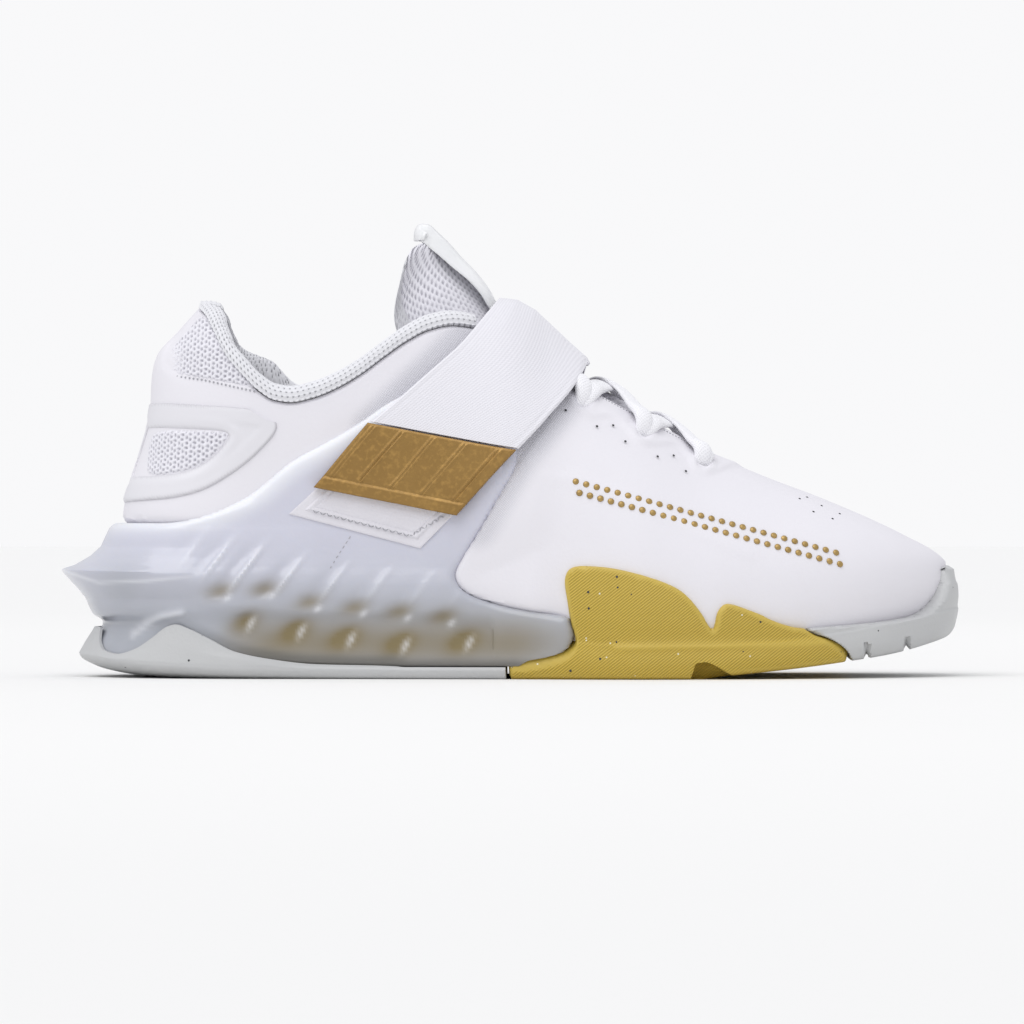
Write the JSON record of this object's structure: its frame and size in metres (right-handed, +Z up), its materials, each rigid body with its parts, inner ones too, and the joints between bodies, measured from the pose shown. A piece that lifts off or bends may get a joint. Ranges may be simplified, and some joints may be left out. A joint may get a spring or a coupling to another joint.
{
  "type": "weightlifting shoe",
  "caption": "Low lifting shoe with a raised translucent heel cage, a wide instep strap, laces and a rubber forefoot wrapped up the side.",
  "frame": {"origin": "point on the floor under the middle of the shoe's box", "axes": "+X from heel to toe, +Y towards the inner side of the foot, +Z up"},
  "size_m": [0.304, 0.1104, 0.1529],
  "materials": {
    "upper": "white textile",
    "tongue_mesh": "white mesh",
    "knit": "pale grey knit",
    "counter": "white moulded film",
    "cage": "translucent, bluish white",
    "grey_rubber": "light grey with specks",
    "gold_rubber": "mustard gold, finely ribbed",
    "strap": "white elastic webbing",
    "tab": "satin metallic gold",
    "patch": "white woven patch",
    "lace": "white round lace",
    "pull_tab": "translucent white",
    "insole": "pale grey"
  },
  "bodies": {
    "root": {"heel_outsole": "grey_rubber", "forefoot_outsole": "gold_rubber", "toe_outsole": "grey_rubber", "heel_cage": "cage", "upper": "upper", "heel_counter": "counter", "collar_lining": "knit", "tongue": "tongue_mesh", "pull_tab": "pull_tab", "midfoot_strap": "strap", "strap_tab": "tab", "fastener_patch": "patch", "lace": "lace", "insole": "insole"}
  },
  "joints": []
}
